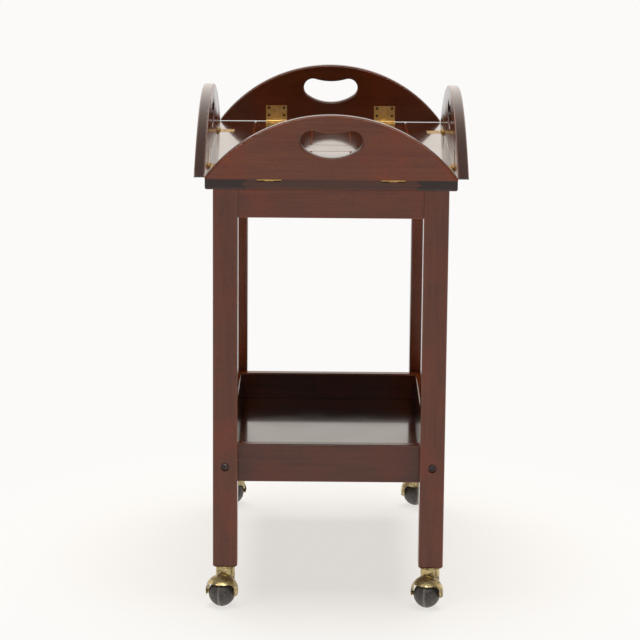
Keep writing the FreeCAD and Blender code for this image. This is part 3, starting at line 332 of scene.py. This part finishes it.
class StageSettings(bpy.types.PropertyGroup):
    """Floor, light and camera."""
    floor_colour: FloatVectorProperty(
        name="Floor", description="Pale matt floor",
        subtype="COLOR", size=4, min=0, max=1, default=linear("FEFBF6"))
    backdrop_colour: FloatVectorProperty(
        name="Backdrop", description="What the camera sees past the floor",
        subtype="COLOR", size=4, min=0, max=1, default=linear("FBFAF9"))
    fibre_colour: FloatVectorProperty(
        name="Fibres", description="Faint fibres in the paper of the floor",
        subtype="COLOR", size=4, min=0, max=1, default=linear("D8D0C8"))
    room_colour: FloatVectorProperty(
        name="Room", description="Warm white room that gloss shows and that lights matt surfaces",
        subtype="COLOR", size=4, min=0, max=1, default=linear("FCF4EC"))
    floor_radius: FloatProperty(
        name="Floor radius", description="Radius of the floor",
        subtype="DISTANCE", unit="LENGTH", default=9.0)
    fade_start: FloatProperty(
        name="Fade start", description="Distance where the floor starts to fade into the backdrop",
        subtype="DISTANCE", unit="LENGTH", default=0.25)
    fade_end: FloatProperty(
        name="Fade end", description="Distance where the floor has become the backdrop",
        subtype="DISTANCE", unit="LENGTH", default=0.8)
    near_fade: FloatProperty(
        name="Near fade", description="Share of the backdrop in the floor under the trolley",
        subtype="FACTOR", min=0, max=1, default=0.7)
    softbox_size: FloatProperty(
        name="Softbox size", description="Side of the square softbox overhead",
        subtype="DISTANCE", unit="LENGTH", default=2.4)
    softbox_height: FloatProperty(
        name="Softbox height", description="Height of the softbox above the floor",
        subtype="DISTANCE", unit="LENGTH", default=3.2)
    softbox_offset: FloatProperty(
        name="Softbox offset", description="How far the softbox stands to the rear",
        subtype="DISTANCE", unit="LENGTH", default=0.25)
    softbox_power: FloatProperty(
        name="Softbox power", description="Power of the softbox",
        unit="POWER", default=150.0)
    lamp_place: FloatVectorProperty(
        name="Front lamp", description="Where the wide lamp in front hangs",
        subtype="TRANSLATION", unit="LENGTH", size=3, default=(-0.2, -2.6, 3.0))
    lamp_width: FloatProperty(
        name="Front lamp width", description="Width of the lamp in front",
        subtype="DISTANCE", unit="LENGTH", default=6.0)
    lamp_height: FloatProperty(
        name="Front lamp height", description="Height of the lamp in front",
        subtype="DISTANCE", unit="LENGTH", default=1.4)
    lamp_power: FloatProperty(
        name="Front lamp power", description="Power of the lamp in front",
        unit="POWER", default=100.0)
    room_light: FloatProperty(
        name="Room light", description="Level of the room that lights matt surfaces",
        subtype="FACTOR", min=0, max=1, default=0.03)
    room_above: FloatProperty(
        name="Room above", description="Level of the room that gloss shows overhead",
        subtype="FACTOR", min=0, max=1, default=0.3)
    room_front: FloatProperty(
        name="Room in front", description="Level of the room that gloss shows in front of the trolley",
        subtype="FACTOR", min=0, max=1, default=0.28)
    camera_place: FloatVectorProperty(
        name="Camera place", description="Where the camera stands",
        subtype="TRANSLATION", unit="LENGTH", size=3, default=(-0.016, -4.5023, 1.3752))
    camera_pitch: FloatProperty(
        name="Camera pitch", description="How far the camera looks down",
        subtype="ANGLE", unit="ROTATION", default=math.radians(12.04))
    camera_roll: FloatProperty(
        name="Camera roll", description="How far the camera is turned about its view",
        subtype="ANGLE", unit="ROTATION", default=0.0082)
    camera_lens: FloatProperty(
        name="Camera lens", description="Focal length in millimetres, on a sensor 36 mm wide",
        default=150.65)


# Materials

def streaks(tree, place, grain, width, length, detail, distortion=0.0):
    """Noise drawn out along the grain, from the width and length of one streak."""
    stretch = [1 / length if axis == grain else 1 / width for axis in "xyz"]
    drawn = vectors(tree, "MULTIPLY", place, stretch)["Vector"]
    return noise(tree, drawn, 1.0, detail, Distortion=distortion)


def timber_edges(tree, place, node, axes, rounding):
    """1 on the rounded edges of a timber and of its mirror images, from its box on two axes."""
    low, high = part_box(node)
    parts = add(tree, "ShaderNodeSeparateXYZ", {"Vector": place})
    masks = []
    for axis in axes:
        index = "xyz".index(axis)
        centre = abs(low[index] + high[index]) / 2
        half = (high[index] - low[index]) / 2
        mirrored = maths(tree, "ABSOLUTE", parts.outputs[index])
        away = maths(tree, "ABSOLUTE", maths(tree, "SUBTRACT", mirrored, centre))
        masks.append(ranged(tree, away, (half - rounding, half - ROUNDING_CORE * rounding)))
    return maths(tree, "MULTIPLY", *masks)


def mahogany(name, grain, shift=(0, 0, 0), edges=None, polish=0.0, face=None, lit_share=1.0):
    """Mahogany, planed, stained and sprayed with gloss lacquer.

    It gives the eye broad soft bands, fine stripes, short dark pores, greyer sawn ends, and a clear skin
    that mirrors its surroundings at low angles. edges names a node, its two cross axes and its rounding.
    The share of the stain's lightness that a group keeps is given for it, and the rest is painted shade.
    polish is the share of a second coat, on the top of a board, which is also painted darker as shade,
    or on the edges of a flap, which are painted darker than its faces as shade. face is the axis across
    a flap.
    """
    wood = bpy.context.scene.trolley_wood
    material, tree, shader = new_material(name)
    coordinates = add(tree, "ShaderNodeTexCoord")
    own = coordinates.outputs["Object"]
    place = vectors(tree, "ADD", own, shift)["Vector"]
    figure = streaks(tree, place, grain, wood.figure_width, wood.figure_length, 3, FIGURE_BEND)
    ribbon = streaks(tree, place, grain, wood.ribbon_width, wood.ribbon_length, 4)
    # Real pores are about 0.2 mm wide, too fine to show, so they are drawn coarser
    pores = streaks(tree, place, grain, wood.pore_width, wood.pore_length, 2)
    blotch = noise(tree, place, wood.blotch_size, 3)

    tone = maths(tree, "MULTIPLY", ribbon, RIBBON_SHARE)
    tone = maths(tree, "MULTIPLY_ADD", figure, 1 - RIBBON_SHARE, tone)
    colour = mixed(tree, ranged(tree, tone, BAND_SPAN), wood.stain_dark, wood.stain_light)
    red = ranged(tree, blotch, BLOTCH_SPAN, (0, BLOTCH_SHARE))
    colour = mixed(tree, red, colour, wood.stain_red)
    filled = ranged(tree, pores, PORE_SPAN, (0, PORE_SHARE))
    colour = mixed(tree, filled, colour, wood.pore_colour)

    facing = add(tree, "ShaderNodeSeparateXYZ", {"Vector": coordinates.outputs["Normal"]}).outputs
    along = maths(tree, "ABSOLUTE", facing[grain.upper()])
    sawn = ranged(tree, along, SAWN_SPAN, (0, SAWN_SHARE))
    colour = mixed(tree, sawn, colour, wood.end_grain)
    if edges:
        mask = timber_edges(tree, own, *edges)
        colour = mixed(tree, maths(tree, "MULTIPLY", mask, ribbon), colour, wood.rubbed_edge)
        knocks = ranged(tree, noise(tree, place, wood.chip_size, 2), CHIP_SPAN)
        colour = mixed(tree, maths(tree, "MULTIPLY", mask, knocks), colour, wood.bare_chip)
    # Painted shade: the edges of a flap are darkened towards the edge colour, and take a second coat
    if face:
        across = maths(tree, "ABSOLUTE", facing[face.upper()])
        edge = ranged(tree, across, EDGE_SPAN, (0, EDGE_SHARE))
        colour = mixed(tree, edge, colour, wood.shaded_edge)
        coat = maths(tree, "MULTIPLY", edge, polish)
        feed(tree, shader, {"Coat Weight": coat, "Coat Roughness": EDGE_COAT_ROUGHNESS})
    # Painted shade: the group is darkened towards black by the share of lightness it does not keep
    if lit_share < 1:
        colour = mixed(tree, 1 - lit_share, colour, BLACK)
    # Painted shade: the tops of the boards are darkened, and they also get a second coat of lacquer
    if polish and not face:
        top = ranged(tree, facing["Z"], TOP_SPAN)
        colour = mixed(tree, maths(tree, "MULTIPLY", top, 1 - wood.top_lit_share), colour, BLACK)
        coat = maths(tree, "MULTIPLY", top, polish)
        feed(tree, shader, {"Coat Weight": coat, "Coat Roughness": TOP_COAT_ROUGHNESS})

    haze = ranged(tree, blotch, HAZE_SPAN, HAZE_ROUGHNESS)
    feed(tree, shader, {
        "Base Color": colour,
        "Roughness": maths(tree, "MULTIPLY_ADD", sawn, SAWN_ROUGHNESS, haze),
        "Normal": bumped(tree, pores, *PORE_RELIEF, invert=True),
        "IOR": LACQUER_IOR,
    })
    return material


def beech(name, grain):
    """Beech, planed and left bare: pale tan with short darker flecks and no gloss."""
    wood = bpy.context.scene.trolley_wood
    material, tree, shader = new_material(name)
    place = add(tree, "ShaderNodeTexCoord").outputs["Object"]
    # Real flecks are about 0.3 x 3 mm and are drawn twice that
    flecks = streaks(tree, place, grain, *FLECK_SIZE, 2)
    bands = streaks(tree, place, grain, *BEECH_BAND, 3)
    share = maths(tree, "MULTIPLY", ranged(tree, flecks, FLECK_SPAN), bands)
    feed(tree, shader, {
        "Base Color": mixed(tree, share, wood.beech, wood.beech_fleck),
        "Roughness": ranged(tree, bands, reach=BEECH_ROUGHNESS),
        "Normal": bumped(tree, flecks, *FLECK_RELIEF, invert=True),
    })
    return material


def aged_metal(name, clean, film, filmed, smooth, dull, scratch):
    """Metal with tarnish in patches: bright where it is handled, dull where the film scatters light.

    filmed is the share of the surface under film, smooth and dull are the roughness without and with it,
    and scratch is the strength of the fine scratches.
    """
    metal = bpy.context.scene.trolley_metal
    material, tree, shader = new_material(name)
    place = add(tree, "ShaderNodeTexCoord").outputs["Object"]
    patches = noise(tree, place, metal.patch_size, 6, Roughness=0.65, Distortion=0.5)
    # Rubbing marks are about 0.1 mm wide and are drawn at 0.8 mm
    marks = streaks(tree, place, "x", *MARK_SIZE, 3)
    middle = PATCH_MIDDLE - PATCH_REACH * filmed
    mask = ranged(tree, patches, (middle - PATCH_SOFT, middle + PATCH_SOFT))
    share = maths(tree, "MULTIPLY", mask, ranged(tree, marks, WORN_SPAN, (WORN_SHARE, 1)))
    feed(tree, shader, {
        "Base Color": mixed(tree, share, clean, film),
        "Roughness": ranged(tree, share, reach=(smooth, dull)),
        "Metallic": ranged(tree, share, reach=(1, FILMED_METAL)),
        "Normal": bumped(tree, marks, scratch, MARK_DEPTH),
    })
    return material


def ball_rubber(name, joint):
    """Rubber, moulded black: a soft sheen, with dust and scuffs, and a paler band round the middle."""
    metal = bpy.context.scene.trolley_metal
    material, tree, shader = new_material(name)
    place = add(tree, "ShaderNodeTexCoord").outputs["Object"]
    centre = vectors(tree, "SUBTRACT", place, joint["pos_m"])["Vector"]
    along = vectors(tree, "DOT_PRODUCT", centre, joint["axis"])["Value"]
    half = metal.band_width / 2
    band_span = [half * soft for soft in BAND_SOFT]
    # The band round each ball is painted paler
    band = ranged(tree, maths(tree, "ABSOLUTE", along), band_span, (0, BAND_SHARE))
    scuffs = noise(tree, place, SCUFF_SIZE, 5)
    dust = ranged(tree, scuffs, DUST_SPAN, DUST_SHARE)
    shown = maths(tree, "MAXIMUM", band, dust)
    feed(tree, shader, {
        "Base Color": mixed(tree, shown, metal.ball_black, metal.ball_dust),
        "Roughness": ranged(tree, scuffs, reach=RUBBER_ROUGHNESS),
        "Normal": bumped(tree, scuffs, *SCUFF_RELIEF),
        "IOR": RUBBER_IOR,
    })
    return material


def paper_floor(name, stage):
    """Seamless paper, matt and pale: it holds the shadow, glows softly and fades into the backdrop."""
    material, tree, shader = new_material(name)
    place = add(tree, "ShaderNodeTexCoord").outputs["Object"]
    shade = ranged(tree, noise(tree, place, FIBRE_SIZE, 4), reach=(0, FIBRE_SHARE))
    feed(tree, shader, {
        "Base Color": mixed(tree, shade, stage.floor_colour, stage.fibre_colour),
        "Roughness": PAPER_ROUGHNESS,
        "Specular IOR Level": PAPER_SPECULAR,
    })
    away = vectors(tree, "LENGTH", place)["Value"]
    far = ranged(tree, away, (stage.fade_start, stage.fade_end), interpolation_type="SMOOTHSTEP")
    tint = mixed(tree, far, stage.floor_colour, stage.backdrop_colour)
    glow = add(tree, "ShaderNodeEmission", {"Color": tint, "Strength": 1.0})
    both = add(tree, "ShaderNodeMixShader", {
        0: ranged(tree, far, reach=(stage.near_fade, 1)),
        1: shader.outputs["BSDF"],
        2: glow.outputs["Emission"],
    })
    output = next(node for node in tree.nodes if node.type == "OUTPUT_MATERIAL")
    feed(tree, output, {"Surface": both.outputs["Shader"]})
    return material


# One operator for each group of like pieces

class TROLLEY_OT_finish_legs(bpy.types.Operator):
    """Finish the four legs, grain upright, with rubbed and chipped edges"""
    bl_idname = "trolley.finish_legs"
    bl_label = "Legs"

    def execute(self, context):
        edges = ("leg_front_left", "xy", LEG_ROUNDING)
        wood = mahogany("mahogany_lacquered_legs", "z", edges=edges, lit_share=LEG_LIT_SHARE)
        dress(wood, *(f"leg_{corner}" for corner in CORNERS))
        return {"FINISHED"}


class TROLLEY_OT_finish_rails(bpy.types.Operator):
    """Finish the aprons and the rails of the lower tray, grain along each rail"""
    bl_idname = "trolley.finish_rails"
    bl_label = "Aprons and rails"

    def execute(self, context):
        for kind in ("apron", "shelf_rail"):
            for pair, axes in ((("front", "rear"), "yz"), (("left", "right"), "xz")):
                nodes = [f"{kind}_{side}" for side in pair]
                name = f"mahogany_lacquered_{kind}_{'_'.join(pair)}"
                edges = (nodes[0], axes, RAIL_ROUNDING[kind])
                wood = mahogany(name, GRAIN[pair[0]], RAIL_SHIFT[kind], edges, lit_share=RAIL_LIT_SHARE[kind])
                dress(wood, *nodes)
        return {"FINISHED"}


class TROLLEY_OT_finish_shelf(bpy.types.Operator):
    """Finish the board of the lower tray, grain across it"""
    bl_idname = "trolley.finish_shelf"
    bl_label = "Shelf board"

    def execute(self, context):
        name = "mahogany_lacquered_shelf"
        wood = mahogany(name, "x", SHELF_SHIFT, polish=SHELF_POLISH, lit_share=SHELF_LIT_SHARE)
        dress(wood, "shelf_panel")
        return {"FINISHED"}


class TROLLEY_OT_finish_tray(bpy.types.Operator):
    """Finish the frame and the panels of the top, each group of boards with its own figure"""
    bl_idname = "trolley.finish_tray"
    bl_label = "Tray top"

    def execute(self, context):
        rails = ["tray_end_rail_front", "tray_end_rail_rear", "tray_cross_rail"]
        boards = {
            "stiles": ("y", (0.0, 0.0, 1.1), ["tray_stile_left", "tray_stile_right"]),
            "rails": ("x", (0.4, 0.0, 1.7), rails),
            "muntins": ("y", (0.0, 0.5, 2.3), ["tray_muntins"]),
            "panels": ("y", (0.2, 0.8, 2.9), [f"tray_infill_{corner}" for corner in CORNERS]),
        }
        for kind, (grain, shift, nodes) in boards.items():
            name = f"mahogany_lacquered_tray_{kind}"
            dress(mahogany(name, grain, shift, polish=TRAY_POLISH, lit_share=TRAY_LIT_SHARE), *nodes)
        return {"FINISHED"}


class TROLLEY_OT_finish_flaps(bpy.types.Operator):
    """Finish the four flaps, grain along each hinge line"""
    bl_idname = "trolley.finish_flaps"
    bl_label = "Flaps"

    def execute(self, context):
        for side in SIDES:
            name = f"mahogany_lacquered_flap_{side}"
            face = "y" if GRAIN[side] == "x" else "x"
            wood = mahogany(
                name, GRAIN[side], FLAP_SHIFT,
                polish=FLAP_POLISH[side], face=face, lit_share=FLAP_LIT_SHARE[side])
            dress(wood, f"flap_{side}")
        return {"FINISHED"}


class TROLLEY_OT_finish_hinges(bpy.types.Operator):
    """Finish the leaves, pins and screws of the eight hinges"""
    bl_idname = "trolley.finish_hinges"
    bl_label = "Hinges"

    def execute(self, context):
        metal = context.scene.trolley_metal
        leaf = aged_metal(
            "brass_rolled_tarnished", metal.hinge_brass, metal.hinge_film,
            filmed=0.55, smooth=0.28, dull=0.5, scratch=0.2)
        # Painted shade: the screws are dark brass for the shade in their heads, with tarnish over it
        screw = aged_metal(
            "brass_turned_tarnish_and_shade", metal.screw_brass, metal.screw_film,
            filmed=0.6, smooth=0.35, dull=0.55, scratch=0.2)
        dress(leaf, "hinge_tray_leaves", "hinge_pins", *(f"hinge_flap_leaves_{side}" for side in SIDES))
        dress(screw, "hinge_tray_screws", *(f"hinge_flap_screws_{side}" for side in SIDES))
        return {"FINISHED"}


class TROLLEY_OT_finish_casters(bpy.types.Operator):
    """Finish the hoods, sockets, stems, axles and balls of the four casters"""
    bl_idname = "trolley.finish_casters"
    bl_label = "Casters"

    def execute(self, context):
        metal = context.scene.trolley_metal
        # Partly painted shade: more and darker tarnish stands for the shade under the legs
        hood = aged_metal(
            "brass_pressed_polished", metal.caster_brass, metal.caster_film_and_shade,
            filmed=0.45, smooth=0.22, dull=0.42, scratch=0.15)
        steel = aged_metal(
            "steel_drawn_bright", metal.plain_steel, metal.steel_film,
            filmed=0.4, smooth=0.25, dull=0.5, scratch=0.15)
        joints = {joint["name"]: joint for joint in frame["joints"]}
        dress(hood, "caster_sockets")
        for corner in CORNERS:
            dress(hood, f"caster_hood_{corner}")
            dress(steel, f"caster_stem_{corner}", f"caster_axle_{corner}")
            rubber = ball_rubber(f"rubber_moulded_ball_{corner}", joints[f"{corner}_roll"])
            dress(rubber, f"caster_ball_{corner}")
        return {"FINISHED"}


class TROLLEY_OT_finish_fasteners(bpy.types.Operator):
    """Finish the bolts, nuts and screws, and the dowels and cleats inside the frame"""
    bl_idname = "trolley.finish_fasteners"
    bl_label = "Fasteners"

    def execute(self, context):
        metal = context.scene.trolley_metal
        bolt = aged_metal(
            "steel_blackened", metal.bolt_steel, metal.bolt_black,
            filmed=0.6, smooth=0.3, dull=0.5, scratch=0.15)
        steel = aged_metal(
            "steel_drawn_fasteners", metal.plain_steel, metal.steel_film,
            filmed=0.5, smooth=0.25, dull=0.5, scratch=0.15)
        dress(bolt, "shelf_bolts")
        dress(steel, "barrel_nuts", "cleat_screws")
        dress(beech("beech_planed_dowels", "x"), "frame_dowels")
        dress(beech("beech_planed_cleats", "y"), "top_cleats")
        return {"FINISHED"}


class TROLLEY_OT_set_stage(bpy.types.Operator):
    """Lay the floor, place the lamps, set the backdrop and place the camera"""
    bl_idname = "trolley.set_stage"
    bl_label = "Stage"

    def execute(self, context):
        stage = context.scene.trolley_stage
        self.lay_floor(context, stage)
        self.place_lamps(context, stage)
        self.set_backdrop(context, stage)
        self.place_camera(context, stage)
        context.scene.view_settings.view_transform = "Standard"
        return {"FINISHED"}

    def lay_floor(self, context, stage):
        """A wide disc under the casters."""
        mesh = bpy.data.meshes.new("floor")
        disc = bmesh.new()
        bmesh.ops.create_circle(disc, cap_ends=True, segments=FLOOR_SIDES, radius=stage.floor_radius)
        disc.to_mesh(mesh)
        disc.free()
        floor = bpy.data.objects.new("floor", mesh)
        floor.location.z = CAD_BOX[0].z
        mesh.materials.append(paper_floor("paper_seamless_floor", stage))
        context.scene.collection.objects.link(floor)

    def place_lamps(self, context, stage):
        """A large softbox overhead for matt surfaces, and a wide lamp in front that only gloss shows."""
        above = (0, stage.softbox_offset, stage.softbox_height)
        sides = (stage.softbox_size, stage.softbox_size)
        softbox = self.place_lamp(context, "softbox", sides, stage.softbox_power, above)
        softbox.visible_glossy = False
        front = Vector(stage.lamp_place)
        sides = (stage.lamp_width, stage.lamp_height)
        lamp = self.place_lamp(context, "front_lamp", sides, stage.lamp_power, front)
        lamp.visible_diffuse = False
        centre = (CAD_BOX[0] + CAD_BOX[1]) / 2
        lamp.rotation_euler = (centre - front).to_track_quat("-Z", "Y").to_euler()

    def place_lamp(self, context, name, sides, power, place):
        """A flat lamp that the camera does not see, facing down."""
        light = bpy.data.lights.new(name, "AREA")
        light.shape = "RECTANGLE"
        light.size, light.size_y = sides
        light.energy = power
        lamp = bpy.data.objects.new(name, light)
        lamp.location = place
        lamp.visible_camera = False
        context.scene.collection.objects.link(lamp)
        return lamp

    def set_backdrop(self, context, stage):
        """A white room, dimmer in front and overhead, that lights matt surfaces only a little."""
        world = bpy.data.worlds.new("studio")
        context.scene.world = world
        world.use_nodes = True
        tree = world.node_tree
        tree.nodes.clear()
        direction = add(tree, "ShaderNodeTexCoord").outputs["Generated"]
        parts = add(tree, "ShaderNodeSeparateXYZ", {"Vector": direction}).outputs
        smooth = {"interpolation_type": "SMOOTHSTEP"}
        room = ranged(tree, parts["Y"], FRONT_SPAN, (stage.room_front, 1), **smooth)
        above = ranged(tree, parts["Z"], ABOVE_SPAN, (1, stage.room_above), **smooth)
        path = add(tree, "ShaderNodeLightPath").outputs
        camera = path["Is Camera Ray"]
        level = maths(tree, "MAXIMUM", maths(tree, "MULTIPLY", room, above), camera)
        tint = mixed(tree, camera, stage.room_colour, stage.backdrop_colour)
        shown = add(tree, "ShaderNodeBackground", {"Color": tint, "Strength": level})
        light = add(tree, "ShaderNodeBackground", {
            "Color": stage.room_colour, "Strength": stage.room_light})
        # The backdrop shows to the camera, off gloss and through glass
        gloss = maths(tree, "MAXIMUM", path["Is Glossy Ray"], path["Is Transmission Ray"])
        both = add(tree, "ShaderNodeMixShader", {
            0: maths(tree, "MAXIMUM", camera, gloss),
            1: light.outputs["Background"],
            2: shown.outputs["Background"],
        })
        add(tree, "ShaderNodeOutputWorld", {"Surface": both.outputs["Shader"]})

    def place_camera(self, context, stage):
        """The camera at the photograph's place, looking along +Y and down."""
        data = bpy.data.cameras.new("camera")
        data.sensor_width = SENSOR_WIDTH
        data.lens = stage.camera_lens
        camera = bpy.data.objects.new("camera", data)
        tilt = Matrix.Rotation(math.pi / 2 - stage.camera_pitch, 4, "X")
        turn = Matrix.Rotation(stage.camera_roll, 4, "Z")
        camera.matrix_world = Matrix.Translation(Vector(stage.camera_place)) @ tilt @ turn
        context.scene.collection.objects.link(camera)
        context.scene.camera = camera


OPERATORS = (
    TROLLEY_OT_finish_legs,
    TROLLEY_OT_finish_rails,
    TROLLEY_OT_finish_shelf,
    TROLLEY_OT_finish_tray,
    TROLLEY_OT_finish_flaps,
    TROLLEY_OT_finish_hinges,
    TROLLEY_OT_finish_casters,
    TROLLEY_OT_finish_fasteners,
    TROLLEY_OT_set_stage,
)


class TROLLEY_PT_finishes(bpy.types.Panel):
    """Lists the steps that finish the trolley"""
    bl_idname = "TROLLEY_PT_finishes"
    bl_label = "Tea Trolley"
    bl_space_type = "VIEW_3D"
    bl_region_type = "UI"
    bl_category = "Trolley"

    def draw(self, context):
        for operator in OPERATORS:
            self.layout.operator(operator.bl_idname)


SETTINGS = {"trolley_wood": WoodSettings, "trolley_metal": MetalSettings, "trolley_stage": StageSettings}
CLASSES = (*SETTINGS.values(), *OPERATORS, TROLLEY_PT_finishes)


def register():
    for cls in CLASSES:
        bpy.utils.register_class(cls)
    for name, group in SETTINGS.items():
        setattr(bpy.types.Scene, name, PointerProperty(type=group))


def unregister():
    for name in SETTINGS:
        delattr(bpy.types.Scene, name)
    for cls in reversed(CLASSES):
        bpy.utils.unregister_class(cls)


def main():
    register()
    bpy.ops.trolley.finish_legs()
    bpy.ops.trolley.finish_rails()
    bpy.ops.trolley.finish_shelf()
    bpy.ops.trolley.finish_tray()
    bpy.ops.trolley.finish_flaps()
    bpy.ops.trolley.finish_hinges()
    bpy.ops.trolley.finish_casters()
    bpy.ops.trolley.finish_fasteners()
    bpy.ops.trolley.set_stage()


if __name__ == "__main__":
    main()
